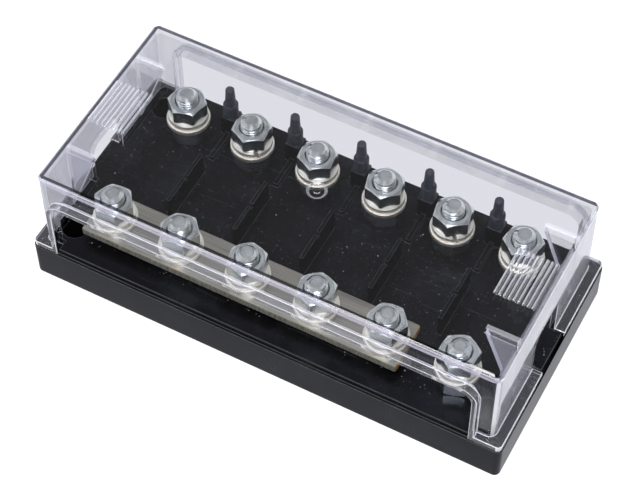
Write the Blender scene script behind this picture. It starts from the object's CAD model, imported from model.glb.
import math

import bmesh
import bpy
from mathutils import Matrix, Vector


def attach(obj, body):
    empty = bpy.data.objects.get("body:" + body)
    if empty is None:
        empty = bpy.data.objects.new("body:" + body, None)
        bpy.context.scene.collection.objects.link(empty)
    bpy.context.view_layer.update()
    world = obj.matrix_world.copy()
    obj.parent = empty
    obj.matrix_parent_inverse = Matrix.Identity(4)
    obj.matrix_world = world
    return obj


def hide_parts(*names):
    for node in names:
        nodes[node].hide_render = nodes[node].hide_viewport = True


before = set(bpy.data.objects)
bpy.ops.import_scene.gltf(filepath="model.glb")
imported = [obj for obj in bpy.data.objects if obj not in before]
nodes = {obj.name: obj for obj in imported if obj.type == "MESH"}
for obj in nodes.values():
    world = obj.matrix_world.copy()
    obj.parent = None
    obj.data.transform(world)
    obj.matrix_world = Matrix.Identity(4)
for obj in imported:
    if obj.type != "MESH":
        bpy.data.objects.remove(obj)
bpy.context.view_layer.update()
mm = 0.001
print("frame loaded:", len(nodes), "nodes")

scene = bpy.context.scene
scene.view_settings.view_transform = "Standard"


def hexColour(code):
    # sRGB hex to linear colour with full alpha
    parts = [int(code[i : i + 2], 16) / 255 for i in (1, 3, 5)]
    return [c / 12.92 if c <= 0.04045 else ((c + 0.055) / 1.055) ** 2.4 for c in parts] + [1]


def addNode(tree, kind, inputs=None, **settings):
    # an input is a plain value, an output socket, or a node whose first live output is used
    node = tree.nodes.new(kind)
    for name, value in settings.items():
        setattr(node, name, value)
    for socket, value in (inputs or {}).items():
        if isinstance(value, bpy.types.Node):
            value = next(o for o in value.outputs if o.enabled)
        if isinstance(value, bpy.types.NodeSocket):
            tree.links.new(value, node.inputs[socket])
        else:
            node.inputs[socket].default_value = value
    return node


def startMaterial(name):
    # an empty material with its output node and object coordinates
    material = bpy.data.materials.new(name)
    material.use_nodes = True
    tree = material.node_tree
    tree.nodes.clear()
    place = addNode(tree, "ShaderNodeTexCoord").outputs["Object"]
    return material, tree, place, addNode(tree, "ShaderNodeOutputMaterial")


# Camera, matched to the twelve terminals, the base's corners and the cover's edges in the photograph
cameraSet = {
    "place": (0.18955, -0.35255, 0.57387),
    "turn": (35.7456, 0.1475, 28.0396),
    "lens": 110.53,
}
cameraData = bpy.data.cameras.new("camera")
cameraData.lens = cameraSet["lens"]
cameraData.sensor_width = 36
cameraData.sensor_fit = "HORIZONTAL"
cameraData.clip_start = 0.05
cameraData.clip_end = 50
camera = bpy.data.objects.new("camera", cameraData)
camera.location = cameraSet["place"]
camera.rotation_euler = [math.radians(a) for a in cameraSet["turn"]]
scene.collection.objects.link(camera)
scene.camera = camera
print("camera set")

# Black moulding: glass-filled nylon from a finely spark-eroded mould. Nearly black, low sheen from above,
# strong pale sheen at a flat angle; dust and handling scratches lie on the level faces. Sizes in millimetres.
blackSet = {
    "dark": "#070708",
    "worn": "#111214",
    "dust": "#97958d",
    "scratch": "#1e1f22",
    "mottle": 22,
    "grain": 0.5,
    # cell, core, edge and share of each size of dust grain
    "dustGrains": [(1.9, 0.05, 0.13, 0.3), (4.2, 0.09, 0.18, 0.45), (10, 0.15, 0.28, 0.4)],
    "dustReach": 35,
    "scratchTurn": 62,
    "scratchSize": (33, 1.1),
    "sheen": 0.12,
    "sheenTint": "#dfe3ff",
}
blackMoulding, tree, place, out = startMaterial("blackNylonMoulded")
mottle = addNode(
    tree,
    "ShaderNodeTexNoise",
    {"Vector": place, "Scale": 1 / (blackSet["mottle"] * mm), "Detail": 6, "Roughness": 0.65},
)
grain = {"Vector": place, "Scale": 1 / (blackSet["grain"] * mm), "Detail": 3}
grain = addNode(tree, "ShaderNodeTexNoise", grain)
normal = addNode(tree, "ShaderNodeNewGeometry").outputs["Normal"]
upward = addNode(tree, "ShaderNodeSeparateXYZ", {"Vector": normal}).outputs["Z"]
level = addNode(tree, "ShaderNodeMath", {0: upward, 1: 0.9}, operation="GREATER_THAN")
depth = addNode(tree, "ShaderNodeSeparateXYZ", {"Vector": place}).outputs["Y"]
depth = addNode(tree, "ShaderNodeMath", {0: depth}, operation="ABSOLUTE")
inside = addNode(tree, "ShaderNodeMath", {0: depth, 1: blackSet["dustReach"] * mm}, operation="LESS_THAN")
sheltered = addNode(tree, "ShaderNodeMath", {0: level, 1: inside}, operation="MULTIPLY")
scratchScale = [1 / (size * mm) for size in blackSet["scratchSize"]]
turned = addNode(
    tree,
    "ShaderNodeMapping",
    {
        "Vector": place,
        "Rotation": (0, 0, math.radians(blackSet["scratchTurn"])),
        "Scale": (scratchScale[0], scratchScale[1], scratchScale[0]),
    },
)
lines = addNode(tree, "ShaderNodeTexNoise", {"Vector": turned, "Scale": 1, "Detail": 2})
scratched = addNode(tree, "ShaderNodeMapRange", {"Value": lines, "From Min": 0.68, "From Max": 0.74})
scratched = addNode(tree, "ShaderNodeMath", {0: scratched, 1: level}, operation="MULTIPLY")
worn = addNode(tree, "ShaderNodeMapRange", {"Value": mottle, "From Min": 0.45, "From Max": 0.7})
darks = {"Factor": worn, "A": hexColour(blackSet["dark"]), "B": hexColour(blackSet["worn"])}
colour = addNode(tree, "ShaderNodeMix", darks, data_type="RGBA")
marks = {"Factor": scratched, "A": colour, "B": hexColour(blackSet["scratch"])}
colour = addNode(tree, "ShaderNodeMix", marks, data_type="RGBA")
for cell, core, edge, share in blackSet["dustGrains"]:
    # one grain of dust in some of the cells, on the level faces under the cover
    scale = 1 / (cell * mm)
    cells = addNode(tree, "ShaderNodeTexVoronoi", {"Vector": place, "Scale": scale}, voronoi_dimensions="2D")
    near = {
        "Value": cells.outputs["Distance"],
        "From Min": core / cell,
        "From Max": edge / cell,
        "To Min": 1,
        "To Max": 0,
    }
    near = addNode(tree, "ShaderNodeMapRange", near)
    chance = addNode(tree, "ShaderNodeSeparateColor", {"Color": cells.outputs["Color"]}).outputs["Red"]
    picked = addNode(tree, "ShaderNodeMapRange", {"Value": chance, "From Min": 1 - share, "From Max": 1})
    dusty = addNode(tree, "ShaderNodeMath", {0: near, 1: picked}, operation="MULTIPLY")
    dusty = addNode(tree, "ShaderNodeMath", {0: dusty, 1: sheltered}, operation="MULTIPLY")
    grains = {"Factor": dusty, "A": colour, "B": hexColour(blackSet["dust"])}
    colour = addNode(tree, "ShaderNodeMix", grains, data_type="RGBA")
shader = addNode(
    tree,
    "ShaderNodeBsdfPrincipled",
    {
        "Base Color": colour,
        "Roughness": addNode(tree, "ShaderNodeMapRange", {"Value": mottle, "To Min": 0.2, "To Max": 0.32}),
        "IOR": 1.5,
        "Specular IOR Level": blackSet["sheen"],
        "Specular Tint": hexColour(blackSet["sheenTint"]),
        "Normal": addNode(tree, "ShaderNodeBump", {"Strength": 0.1, "Distance": 0.03 * mm, "Height": grain}),
    },
)
tree.links.new(shader.outputs["BSDF"], out.inputs["Surface"])

# The same nylon deep in the screw wells, rough from the cutter and out of the light
wellSet = {"colour": "#030303", "roughness": 0.8, "sheen": 0.03, "grain": 0.6}
wellBlack, tree, place, out = startMaterial("blackNylonWell")
grain = {"Vector": place, "Scale": 1 / (wellSet["grain"] * mm), "Detail": 2}
grain = addNode(tree, "ShaderNodeTexNoise", grain)
shader = addNode(
    tree,
    "ShaderNodeBsdfPrincipled",
    {
        "Base Color": hexColour(wellSet["colour"]),
        "Roughness": wellSet["roughness"],
        "Specular IOR Level": wellSet["sheen"],
        "Normal": addNode(tree, "ShaderNodeBump", {"Strength": 0.2, "Distance": 0.03 * mm, "Height": grain}),
    },
)
tree.links.new(shader.outputs["BSDF"], out.inputs["Surface"])


def rubbedBlack(name, dark, pale, roughness, patch):
    # the same nylon where it is rubbed or dusty, in patches
    material, tree, place, out = startMaterial(name)
    cloud = {"Vector": place, "Scale": 1 / (patch * mm), "Detail": 5, "Roughness": 0.7}
    cloud = addNode(tree, "ShaderNodeTexNoise", cloud)
    tone = addNode(tree, "ShaderNodeMapRange", {"Value": cloud, "From Min": 0.35, "From Max": 0.7})
    colours = {"Factor": tone, "A": hexColour(dark), "B": hexColour(pale)}
    shader = addNode(
        tree,
        "ShaderNodeBsdfPrincipled",
        {
            "Base Color": addNode(tree, "ShaderNodeMix", colours, data_type="RGBA"),
            "Roughness": roughness,
            "Specular IOR Level": 0.3,
        },
    )
    tree.links.new(shader.outputs["BSDF"], out.inputs["Surface"])
    return material


# Moulded edges are rubbed pale; the posts stand up into the dust
blackEdge = rubbedBlack("blackNylonRubbedEdge", "#131417", "#26282c", 0.35, 3)
blackPost = rubbedBlack("blackNylonDustyPost", "#15171b", "#3b404a", 0.45, 1.2)


# What all the clear plastics share
clearSet = {"passing": "#e9e9ef", "coatRoughness": 0.01, "coatIor": 1.58}


def clearPlastic(name, colour, roughness, ior, transmission, coat=1):
    # polycarbonate: a coat carries its sharp reflections, and light rays to the lamps pass straight through
    material, tree, place, out = startMaterial(name)
    shader = addNode(
        tree,
        "ShaderNodeBsdfPrincipled",
        {
            "Base Color": hexColour(colour),
            "Roughness": roughness,
            "IOR": ior,
            "Transmission Weight": transmission,
            "Coat Weight": coat,
            "Coat Roughness": clearSet["coatRoughness"],
            "Coat IOR": clearSet["coatIor"],
        },
    )
    through = addNode(tree, "ShaderNodeBsdfTransparent", {"Color": hexColour(clearSet["passing"])})
    shadowRay = addNode(tree, "ShaderNodeLightPath").outputs["Is Shadow Ray"]
    either = addNode(tree, "ShaderNodeMixShader", {0: shadowRay, 1: shader, 2: through})
    tree.links.new(either.outputs["Shader"], out.inputs["Surface"])
    return material


# Clear moulding: polycarbonate from a polished mould, with a faint lilac tint. The body's IOR is low, so that
# the walls don't turn black as light guides over the black base. Edges and the rim round the top gather
# light from inside and look pale, with a greyer band at the front. Cut-out rims, gussets and end walls look
# hazy, and the top's outer strip guides the dark up from the base.
clearMoulding = clearPlastic("clearPolycarbonate", "#f2f2f3", 0, 1.03, 1)
clearEdge = clearPlastic("clearPolycarbonateEdge", "#dedee5", 0.2, 1.2, 0.5)
clearHaze = clearPlastic("clearPolycarbonateHaze", "#dcdde4", 0.03, 1.05, 0.965)
clearDeep = clearPlastic("clearPolycarbonateDeep", "#34343c", 0, 1.03, 1)
clearVeil = clearPlastic("clearPolycarbonateVeil", "#d4d5dd", 0.08, 1.05, 0.84, 0.05)
clearRim = clearPlastic("clearPolycarbonateRim", "#d9d6e0", 0.25, 1.05, 0.3)
clearBand = clearPlastic("clearPolycarbonateBand", "#a5a1b0", 0.2, 1.05, 0.4)
clearWall = clearPlastic("clearPolycarbonateEndWall", "#d9dae2", 0.1, 1.05, 0.75)


def plating(name, pale, deep, low, high, patch):
    # electroplated steel: metal with soft patches in colour and gloss and a fine pickled grain
    material, tree, place, out = startMaterial(name)
    cloud = {"Vector": place, "Scale": 1 / (patch * mm), "Detail": 5, "Roughness": 0.6}
    cloud = addNode(tree, "ShaderNodeTexNoise", cloud)
    grain = addNode(tree, "ShaderNodeTexNoise", {"Vector": place, "Scale": 1 / (0.35 * mm), "Detail": 2})
    colours = {"Factor": cloud, "A": hexColour(deep), "B": hexColour(pale)}
    gloss = {"Value": cloud, "From Min": 0.3, "From Max": 0.7, "To Min": low, "To Max": high}
    bump = {"Strength": 0.05, "Distance": 0.015 * mm, "Height": grain}
    shader = addNode(
        tree,
        "ShaderNodeBsdfPrincipled",
        {
            "Metallic": 1,
            "Base Color": addNode(tree, "ShaderNodeMix", colours, data_type="RGBA"),
            "Roughness": addNode(tree, "ShaderNodeMapRange", gloss),
            "Normal": addNode(tree, "ShaderNodeBump", bump),
        },
    )
    tree.links.new(shader.outputs["BSDF"], out.inputs["Surface"])
    return material


# Blue-passivated zinc on the bolts and nuts, cooler and brighter than the washers' thin yellowish zinc
zincPlate = plating("blueZincPlate", "#edf2f1", "#d8dfdf", 0.2, 0.26, 4)
zincRoot = plating("blueZincThreadRoot", "#6f777a", "#555c5f", 0.4, 0.5, 2)
washerPlate = plating("washerZincPlate", "#f0ede3", "#e0ddd2", 0.42, 0.52, 4)

# Busbar: tin-plated brass, brushed along its length, with saw marks across its long edges; brass shows where
# the plating is worn off the end corners and at a nick in the front edge. Sizes in millimetres.
barSet = {
    "pale": "#a9a89d",
    "deep": "#7a786f",
    "brass": "#b98b3c",
    "stroke": (45, 0.3, 1),
    "saw": (0.5, 16, 3.3),
    "sawRoughness": 0.65,
    "wornFrom": 60.8,
    "wornOver": 0.7,
    "wornPatch": 2.5,
    "middle": -13.3,
    "nick": (-37.2, -34.2),
    "nickSlope": 0.5,
    "nickWidth": 0.16,
    "nickReach": 2.2,
}
barPlate, tree, place, out = startMaterial("brushedTinnedBrass")
strokeScale = [1 / (s * mm) for s in barSet["stroke"]]
along = addNode(tree, "ShaderNodeMapping", {"Vector": place, "Scale": strokeScale})
strokes = addNode(tree, "ShaderNodeTexNoise", {"Vector": along, "Scale": 1, "Detail": 4, "Roughness": 0.7})
sawScale = [1 / (s * mm) for s in barSet["saw"]]
across = addNode(tree, "ShaderNodeMapping", {"Vector": place, "Scale": sawScale})
saw = addNode(tree, "ShaderNodeTexNoise", {"Vector": across, "Scale": 1, "Detail": 1})
normal = addNode(tree, "ShaderNodeNewGeometry").outputs["Normal"]
upward = addNode(tree, "ShaderNodeSeparateXYZ", {"Vector": normal}).outputs["Z"]
tilt = addNode(tree, "ShaderNodeMath", {0: upward}, operation="ABSOLUTE")
edgeOn = addNode(tree, "ShaderNodeMath", {0: tilt, 1: 0.5}, operation="LESS_THAN")
marks = {"Factor": edgeOn, "A": strokes.outputs["Fac"], "B": saw.outputs["Fac"]}
marks = addNode(tree, "ShaderNodeMix", marks)
spot = addNode(tree, "ShaderNodeSeparateXYZ", {"Vector": place})
sideways = {0: spot.outputs["X"], 1: barSet["middle"] * mm}
sideways = addNode(tree, "ShaderNodeMath", sideways, operation="SUBTRACT")
farOut = addNode(tree, "ShaderNodeMath", {0: sideways}, operation="ABSOLUTE")
wornTo = barSet["wornFrom"] + barSet["wornOver"]
atEnd = {"Value": farOut, "From Min": barSet["wornFrom"] * mm, "From Max": wornTo * mm}
atEnd = addNode(tree, "ShaderNodeMapRange", atEnd)
patches = {"Vector": place, "Scale": 1 / (barSet["wornPatch"] * mm), "Detail": 3}
patches = addNode(tree, "ShaderNodeTexNoise", patches)
patches = addNode(tree, "ShaderNodeMapRange", {"Value": patches, "From Min": 0.4, "From Max": 0.6})
rubbed = addNode(tree, "ShaderNodeMath", {0: atEnd, 1: patches}, operation="MULTIPLY")
nickX, nickY = barSet["nick"]
forward = addNode(tree, "ShaderNodeMath", {0: spot.outputs["Y"], 1: nickY * mm}, operation="SUBTRACT")
sideways = addNode(tree, "ShaderNodeMath", {0: spot.outputs["X"], 1: nickX * mm}, operation="SUBTRACT")
slant = addNode(tree, "ShaderNodeMath", {0: forward, 1: barSet["nickSlope"]}, operation="MULTIPLY")
offLine = addNode(tree, "ShaderNodeMath", {0: sideways, 1: slant}, operation="SUBTRACT")
offLine = addNode(tree, "ShaderNodeMath", {0: offLine}, operation="ABSOLUTE")
onLine = addNode(tree, "ShaderNodeMath", {0: offLine, 1: barSet["nickWidth"] * mm}, operation="LESS_THAN")
inReach = addNode(tree, "ShaderNodeMath", {0: forward, 1: barSet["nickReach"] * mm}, operation="LESS_THAN")
nicked = addNode(tree, "ShaderNodeMath", {0: onLine, 1: inReach}, operation="MULTIPLY")
brassy = addNode(tree, "ShaderNodeMath", {0: rubbed, 1: nicked}, operation="MAXIMUM")
tone = addNode(tree, "ShaderNodeMapRange", {"Value": marks, "From Min": 0.3, "From Max": 0.7})
tins = {"Factor": tone, "A": hexColour(barSet["deep"]), "B": hexColour(barSet["pale"])}
colour = addNode(tree, "ShaderNodeMix", tins, data_type="RGBA")
metals = {"Factor": brassy, "A": colour, "B": hexColour(barSet["brass"])}
colour = addNode(tree, "ShaderNodeMix", metals, data_type="RGBA")
gloss = {"Value": marks, "From Min": 0.3, "From Max": 0.7, "To Min": 0.27, "To Max": 0.42}
gloss = addNode(tree, "ShaderNodeMapRange", gloss)
gloss = addNode(tree, "ShaderNodeMix", {"Factor": edgeOn, "A": gloss, "B": barSet["sawRoughness"]})
shader = addNode(
    tree,
    "ShaderNodeBsdfPrincipled",
    {
        "Metallic": 1,
        "Base Color": colour,
        "Roughness": gloss,
        "Normal": addNode(tree, "ShaderNodeBump", {"Strength": 0.35, "Distance": 0.03 * mm, "Height": marks}),
    },
)
tree.links.new(shader.outputs["BSDF"], out.inputs["Surface"])
print("materials made")


def cadCopy(node):
    # a merged copy of a CAD node with its flat faces joined up
    bm = bmesh.new()
    bm.from_mesh(nodes[node].data)
    bmesh.ops.remove_doubles(bm, verts=bm.verts, dist=0.002 * mm)
    bmesh.ops.dissolve_limit(bm, angle_limit=math.radians(0.4), verts=bm.verts, edges=bm.edges)
    return bm


def reach(edge, face):
    # how far a face stretches away from one of its edges
    start = edge.verts[0].co
    along = (edge.verts[1].co - start).normalized()
    return max((v.co - start - along * (v.co - start).dot(along)).length for v in face.verts)


def roundEdges(bm, width, least=24, segments=2):
    # edges of faces too narrow for the rounding stay sharp
    sharp = [e for e in bm.edges if e.is_manifold and e.calc_face_angle() > math.radians(least)]
    wide = [e for e in sharp if min(reach(e, f) for f in e.link_faces) > 2.2 * width * mm]
    made = bmesh.ops.bevel(
        bm,
        geom=wide,
        offset=width * mm,
        offset_type="OFFSET",
        affect="EDGES",
        segments=segments,
        profile=0.5,
        material=-1,
        clamp_overlap=False,
        loop_slide=True,
    )
    bm.normal_update()
    return made["faces"]


def cutFaces(bm, faces, place, direction):
    # a straight cut that splits some faces and moves nothing
    edges = {e for f in faces for e in f.edges}
    verts = {v for f in faces for v in f.verts}
    geom = list(faces) + list(edges) + list(verts)
    bmesh.ops.bisect_plane(bm, geom=geom, dist=0.0001 * mm, plane_co=place, plane_no=direction)


def finishPiece(bm, name, body, materials, stands):
    bm.normal_update()
    for face in bm.faces:
        face.smooth = True
    for edge in bm.edges:
        edge.smooth = not edge.is_manifold or edge.calc_face_angle() < math.radians(38)
    mesh = bpy.data.meshes.new(name)
    bm.to_mesh(mesh)
    bm.free()
    for material in materials:
        mesh.materials.append(material)
    piece = bpy.data.objects.new(name, mesh)
    scene.collection.objects.link(piece)
    weighted = piece.modifiers.new("evenShading", "WEIGHTED_NORMAL")
    weighted.keep_sharp = True
    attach(piece, body)
    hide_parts(*stands)
    return piece


# Base, with moulded edges and black wells
baseSet = {"edge": 0.3, "wellTop": 17.0, "well": (80.5, 31.0), "wellRadius": 5.1, "post": (24.0, 26.1)}
baseBlacks = [blackMoulding, wellBlack, blackEdge, blackPost]
bm = cadCopy("base")
for face in roundEdges(bm, baseSet["edge"]):
    if face.normal.z > 0.2:
        face.material_index = baseBlacks.index(blackEdge)
for face in bm.faces:
    middle = face.calc_center_median() / mm
    away = math.hypot(abs(middle.x) - baseSet["well"][0], abs(middle.y) - baseSet["well"][1])
    if away < baseSet["wellRadius"] and middle.z < baseSet["wellTop"]:
        face.material_index = baseBlacks.index(wellBlack)
    elif middle.y > baseSet["post"][0] and middle.z > baseSet["post"][1]:
        face.material_index = baseBlacks.index(blackPost)
finishPiece(bm, "baseMoulding", "holder", baseBlacks, ["base"])

# Cover: which of its eight plastics a face gets follows from where it lies, as the photograph shows it
coverSet = {
    "edge": 0.25,
    "top": 52.2,
    "topUnder": 50.0,
    "strip": 1.4,
    "gateRadius": 3.7,
    "rimFrom": 40.6,
    "flangeTop": 17.4,
    "ledge": 15.05,
    "flangeSide": 42.5,
    "flangeEnd": 90.4,
    "cornerFrom": (84.0, 37.0),
    "wallFrom": 85.0,
    "gussetFrom": 73.9,
    "gussetSpan": (22.0, 24.0),
    "level": 0.1,
    "ribFoot": 0.05,
    "ribCrest": 0.7,
    "gateFloor": 0.5,
    "gussetSlack": 0.2,
    "rimSlack": 0.3,
    "innerEdge": 1.2,
}
coverPlastics = [clearMoulding, clearEdge, clearHaze, clearDeep, clearVeil, clearRim, clearWall, clearBand]
plainAt, edgeAt, hazeAt, deepAt, veilAt, rimAt, wallAt, bandAt = range(len(coverPlastics))
bm = cadCopy("cover")
for face in roundEdges(bm, coverSet["edge"]):
    face.material_index = edgeAt


def topFaces(beyond=0):
    # faces of the cover's top, or the ones past a length along it
    tops = [f for f in bm.faces if f.normal.z > 0.99 and f.material_index != edgeAt]
    tops = [f for f in tops if abs(f.calc_center_median().z / mm - coverSet["top"]) < coverSet["level"]]
    return [f for f in tops if abs(f.calc_center_median().x / mm) >= beyond]


topX = max(abs(v.co.x) for f in topFaces() for v in f.verts) - coverSet["strip"] * mm
topY = max(abs(v.co.y) for f in topFaces() for v in f.verts) - coverSet["strip"] * mm
for side in (-1, 1):
    cutFaces(bm, topFaces(), (side * topX, 0, 0), (1, 0, 0))
    cutFaces(bm, topFaces(), (0, side * topY, 0), (0, 1, 0))
    cutFaces(bm, topFaces(), (side * coverSet["gussetFrom"] * mm, 0, 0), (1, 0, 0))
for y in coverSet["gussetSpan"]:
    for side in (-1, 1):
        cutFaces(bm, topFaces(coverSet["gussetFrom"]), (0, side * y * mm, 0), (0, 1, 0))
cutFaces(bm, list(bm.faces), (0, 0, coverSet["topUnder"] * mm), (0, 0, 1))
bm.normal_update()
level, rimSlack = coverSet["level"], coverSet["rimSlack"]
gussetLow = coverSet["gussetSpan"][0] - coverSet["gussetSlack"]
gussetHigh = coverSet["gussetSpan"][1] + coverSet["gussetSlack"]
for face in bm.faces:
    middle = face.calc_center_median() / mm
    x, y, z = abs(middle.x), abs(middle.y), middle.z
    upright = abs(face.normal.z) < 0.5
    outward = face.normal.x * middle.x > 0 or face.normal.y * middle.y > 0
    corner = x > coverSet["cornerFrom"][0] and y > coverSet["cornerFrom"][1]
    corner = corner and (middle.x > 0 or middle.y < 0)
    bent = min(abs(face.normal.x), abs(face.normal.y)) > 0.5
    overGusset = x > coverSet["gussetFrom"] and gussetLow < y < gussetHigh
    onFlange = y > coverSet["flangeSide"] or x > coverSet["flangeEnd"]
    if z < coverSet["ledge"]:
        face.material_index = plainAt
    elif z > coverSet["topUnder"] + coverSet["gateFloor"] and math.hypot(x, y) < coverSet["gateRadius"]:
        face.material_index = veilAt if face.material_index == edgeAt else plainAt
    elif z > coverSet["top"] + coverSet["ribFoot"]:
        flank = edgeAt if face.normal.x < -0.3 else hazeAt
        face.material_index = wallAt if z > coverSet["top"] + coverSet["ribCrest"] else flank
    elif face.material_index == edgeAt:
        levelRim = y > coverSet["rimFrom"] - rimSlack and z > coverSet["flangeTop"] + rimSlack
        levelRim = levelRim and abs(face.normal.z) > 0.5
        if z > coverSet["topUnder"] - coverSet["innerEdge"] and not outward:
            face.material_index = plainAt
        elif levelRim or (z > coverSet["topUnder"] and outward):
            face.material_index = veilAt
    elif face.normal.z > 0.99 and z > coverSet["top"] - level:
        outerStrip = y > topY / mm or -middle.x > topX / mm
        face.material_index = deepAt if outerStrip else veilAt if overGusset else plainAt
    elif outward and z > coverSet["topUnder"] and face.normal.y < -0.5:
        face.material_index = bandAt
    elif upright and outward and z > coverSet["topUnder"]:
        face.material_index = rimAt
    elif upright and outward and corner and bent:
        face.material_index = edgeAt
    elif upright and z < coverSet["flangeTop"] and onFlange:
        face.material_index = edgeAt
    elif face.normal.z > 0.99 and z < coverSet["flangeTop"] + level:
        face.material_index = hazeAt
    elif overGusset and z > coverSet["flangeTop"] and x < coverSet["wallFrom"]:
        panel = veilAt if middle.y < 0 else plainAt
        face.material_index = panel if abs(face.normal.y) > 0.9 else rimAt
    elif x > coverSet["wallFrom"] and outward and abs(face.normal.x) > 0.9:
        face.material_index = wallAt
    elif y > coverSet["rimFrom"] and z > coverSet["flangeTop"] + level:
        face.material_index = hazeAt
finishPiece(bm, "coverMoulding", "cover", coverPlastics, ["cover"])
print("base and cover made")

# Busbar with broken edges
busbarSet = {"edge": 0.3}
bm = cadCopy("busbar")
roundEdges(bm, busbarSet["edge"])
finishPiece(bm, "busbarPlate", "holder", [barPlate], ["busbar"])

# Threaded bolt ends: the CAD bolt is cut off inside the top nut and a rolled thread stands on it. The thread
# is wound from one profile, trimmed at both ends, chamfered, and dished at the tip.
threadSet = {
    "crest": 3.95,
    "root": 3.2,
    "pitch": 1.25,
    "flat": 0.18,
    "foot": 34.0,
    "tip": 39.3,
    "chamfer": 1.45,
    "tipRadius": 2.5,
    "around": 48,
    "rimRadius": 2.1,
    "dishRadius": 1.8,
    "dish": 0.2,
    "turnEach": 77,
}


def windThread():
    t = threadSet
    bm = bmesh.new()
    middle = (t["crest"] + t["root"]) / 2
    flank = (t["pitch"] - 2 * t["flat"]) / 2
    steps = [(t["root"], 0), (t["root"], t["flat"]), (middle, flank / 2), (t["crest"], flank / 2)]
    steps += [(t["crest"], t["flat"]), (middle, flank / 2), (t["root"], flank / 2)]
    z = t["foot"] - t["pitch"]
    chain = []
    for r, rise in steps:
        z += rise
        chain.append(bm.verts.new((r * mm, 0, z * mm)))
    edges = [bm.edges.new(pair) for pair in zip(chain, chain[1:])]
    turns = math.ceil((t["tip"] - t["foot"]) / t["pitch"]) + 1
    bmesh.ops.spin(
        bm,
        geom=chain + edges,
        cent=(0, 0, 0),
        axis=(0, 0, 1),
        dvec=(0, 0, t["pitch"] * mm / t["around"]),
        angle=2 * math.pi * turns,
        steps=t["around"] * turns,
        use_merge=False,
        use_normal_flip=False,
        use_duplicate=False,
    )
    bmesh.ops.remove_doubles(bm, verts=bm.verts, dist=0.002 * mm)
    for height, way in ((t["foot"], -1), (t["tip"], 1)):
        bmesh.ops.bisect_plane(
            bm,
            geom=bm.verts[:] + bm.edges[:] + bm.faces[:],
            dist=0.0001 * mm,
            plane_co=(0, 0, height * mm),
            plane_no=(0, 0, way),
            clear_outer=True,
        )
    for v in bm.verts:
        # the chamfer's cone cuts the thread down towards the tip
        down = (t["tip"] - v.co.z / mm) / t["chamfer"]
        most = t["tipRadius"] + (t["crest"] - t["tipRadius"]) * down
        r = math.hypot(v.co.x, v.co.y) / mm
        if r > most:
            v.co.x, v.co.y = v.co.x * most / r, v.co.y * most / r
    bmesh.ops.remove_doubles(bm, verts=bm.verts, dist=0.01 * mm)
    loop = [e for e in bm.edges if e.is_boundary and e.verts[0].co.z > (t["tip"] - 0.01) * mm]
    for radius, height in ((t["rimRadius"], t["tip"]), (t["dishRadius"], t["tip"] - t["dish"])):
        made = bmesh.ops.extrude_edge_only(bm, edges=loop)["geom"]
        loop = [e for e in made if isinstance(e, bmesh.types.BMEdge) and e.is_boundary]
        for v in {v for e in loop for v in e.verts}:
            share = radius * mm / math.hypot(v.co.x, v.co.y)
            v.co = (v.co.x * share, v.co.y * share, height * mm)
    bmesh.ops.holes_fill(bm, edges=[e for e in bm.edges if e.is_boundary], sides=0)
    bmesh.ops.recalc_face_normals(bm, faces=bm.faces)
    for face in bm.faces:
        spot = face.calc_center_median() / mm
        groove = t["tipRadius"] < math.hypot(spot.x, spot.y) < middle
        face.material_index = 1 if groove and spot.z < t["tip"] - t["chamfer"] else 0
    mesh = bpy.data.meshes.new("thread")
    bm.to_mesh(mesh)
    bm.free()
    return mesh


threadMesh = windThread()


def addThread(bm, x, y, turn):
    had = set(bm.verts)
    bm.from_mesh(threadMesh)
    made = [v for v in bm.verts if v not in had]
    bmesh.ops.rotate(bm, verts=made, cent=(0, 0, 0), matrix=Matrix.Rotation(math.radians(turn), 3, "Z"))
    bmesh.ops.translate(bm, verts=made, vec=(x, y, 0))


# Fasteners of each way
fastenerSet = {
    "nutEdge": 0.12,
    "washerEdge": 0.35,
    "springEdge": 0.2,
    "boltEdge": 0.15,
    "pitch": 26.6,
    "row": 25.4,
}
for way in range(1, 7):
    x = (way - 3.5) * fastenerSet["pitch"] * mm
    bm = cadCopy(f"way_{way}_bolts")
    cut = bmesh.ops.bisect_plane(
        bm,
        geom=bm.verts[:] + bm.edges[:] + bm.faces[:],
        dist=0.0001 * mm,
        plane_co=(0, 0, threadSet["foot"] * mm),
        plane_no=(0, 0, 1),
        clear_outer=True,
    )
    bmesh.ops.holes_fill(bm, edges=[e for e in cut["geom_cut"] if isinstance(e, bmesh.types.BMEdge)], sides=0)
    roundEdges(bm, fastenerSet["boltEdge"])
    for side in (-1, 1):
        turn = (2 * way + side) * threadSet["turnEach"]
        addThread(bm, x, side * fastenerSet["row"] * mm, turn)
    finishPiece(bm, f"way{way}Bolts", "holder", [zincPlate, zincRoot], [f"way_{way}_bolts"])
    kinds = [
        ("lower_nuts", "LowerNuts", "nutEdge", "zinc", zincPlate),
        ("top_nuts", "TopNuts", "nutEdge", "zinc", zincPlate),
        ("flat_washers", "FlatWashers", "washerEdge", "washer_steel", washerPlate),
        ("spring_washers", "SpringWashers", "springEdge", "washer_steel", washerPlate),
    ]
    if way < 6:
        kinds += [("thin_nut", "ThinNut", "nutEdge", "zinc", zincPlate)]
    for node, name, edge, slot, material in kinds:
        bm = cadCopy(f"way_{way}_{node}")
        roundEdges(bm, fastenerSet[edge])
        finishPiece(bm, f"way{way}{name}", "holder", [material], [f"way_{way}_{node}"])
print("fasteners made")

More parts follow.
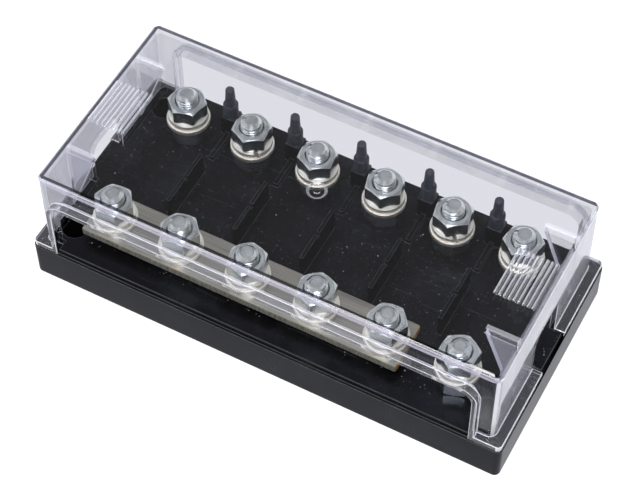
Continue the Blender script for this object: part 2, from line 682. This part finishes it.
# Floor: plain white paper, which is seen as white, with the object's soft shadow. Shiny faces see it a little
# blue, and dim in front, where the paper's near end falls away from the light. Lengths in millimetres.
floorSet = {
    "size": 4000,
    "paper": "#f2f2f2",
    "glow": 0.72,
    "shine": "#f3f4fb",
    "dimShine": "#66676e",
    "dimFrom": -68,
    "dimTo": -54,
}
paper, tree, place, out = startMaterial("whitePaper")
path = addNode(tree, "ShaderNodeLightPath")
shiny = path.outputs["Is Glossy Ray"]
seen = {0: path.outputs["Is Camera Ray"], 1: path.outputs["Is Transmission Ray"]}
seen = addNode(tree, "ShaderNodeMath", seen, operation="MAXIMUM")
seen = addNode(tree, "ShaderNodeMath", {0: seen, 1: floorSet["glow"]}, operation="MULTIPLY")
share = addNode(tree, "ShaderNodeMath", {0: seen, 1: shiny}, operation="MAXIMUM")
depth = addNode(tree, "ShaderNodeSeparateXYZ", {"Vector": place}).outputs["Y"]
lit = {"Value": depth, "From Min": floorSet["dimFrom"] * mm, "From Max": floorSet["dimTo"] * mm}
lit = addNode(tree, "ShaderNodeMapRange", lit)
shines = {"Factor": lit, "A": hexColour(floorSet["dimShine"]), "B": hexColour(floorSet["shine"])}
shines = addNode(tree, "ShaderNodeMix", shines, data_type="RGBA")
glows = {"Factor": shiny, "A": (1, 1, 1, 1), "B": shines}
glow = addNode(tree, "ShaderNodeEmission", {"Color": addNode(tree, "ShaderNodeMix", glows, data_type="RGBA")})
matt = addNode(tree, "ShaderNodeBsdfDiffuse", {"Color": hexColour(floorSet["paper"])})
mixed = addNode(tree, "ShaderNodeMixShader", {0: share, 1: matt, 2: glow})
tree.links.new(mixed.outputs["Shader"], out.inputs["Surface"])
bm = bmesh.new()
bmesh.ops.create_grid(bm, x_segments=1, y_segments=1, size=floorSet["size"] * mm / 2)
mesh = bpy.data.meshes.new("floor")
bm.to_mesh(mesh)
bm.free()
mesh.materials.append(paper)
floor = bpy.data.objects.new("floor", mesh)
scene.collection.objects.link(floor)

# Studio: white walls low down, a dim ceiling and soft lamps
worldSet = {"fill": 0.5, "wall": 1.0, "ceiling": 0.13, "wallTop": 0.3, "ceilingFrom": 0.7}
world = bpy.data.worlds.new("studio")
world.use_nodes = True
scene.world = world
tree = world.node_tree
tree.nodes.clear()
out = addNode(tree, "ShaderNodeOutputWorld")
ways = addNode(tree, "ShaderNodeTexCoord").outputs["Generated"]
fade = {
    "Value": addNode(tree, "ShaderNodeSeparateXYZ", {"Vector": ways}).outputs["Z"],
    "From Min": worldSet["wallTop"],
    "From Max": worldSet["ceilingFrom"],
    "To Min": worldSet["wall"],
    "To Max": worldSet["ceiling"],
}
fade = addNode(tree, "ShaderNodeMapRange", fade)
fill = addNode(tree, "ShaderNodeBackground", {"Color": (1, 1, 1, 1), "Strength": worldSet["fill"]})
room = addNode(tree, "ShaderNodeBackground", {"Color": (1, 1, 1, 1), "Strength": fade})
path = addNode(tree, "ShaderNodeLightPath")
seen = {0: path.outputs["Is Camera Ray"], 1: path.outputs["Is Glossy Ray"]}
seen = addNode(tree, "ShaderNodeMath", seen, operation="MAXIMUM")
seen = addNode(tree, "ShaderNodeMath", {0: seen, 1: path.outputs["Is Transmission Ray"]}, operation="MAXIMUM")
mixed = addNode(tree, "ShaderNodeMixShader", {0: seen, 1: fill, 2: room})
tree.links.new(mixed.outputs["Shader"], out.inputs["Surface"])
lampSet = [
    {"name": "topLamp", "place": (0.02, -0.03, 1.0), "size": 0.85, "power": 8},
    {"name": "frontLamp", "place": (0.2, -0.5, 0.95), "size": 0.28, "power": 10},
    {"name": "leftLamp", "place": (-0.65, -0.4, 0.85), "size": 0.28, "power": 6},
    {"name": "backLamp", "place": (-0.16, 0.2, 0.97), "size": 0.46, "power": 6},
]
for lamp in lampSet:
    data = bpy.data.lights.new(lamp["name"], "AREA")
    data.shape = "DISK"
    data.energy = lamp["power"]
    data.size = lamp["size"]
    light = bpy.data.objects.new(lamp["name"], data)
    light.location = lamp["place"]
    light.rotation_euler = (-Vector(lamp["place"])).to_track_quat("-Z", "Y").to_euler()
    light.visible_transmission = False  # its light already passes the cover as shadow rays
    scene.collection.objects.link(light)
print("stage made")
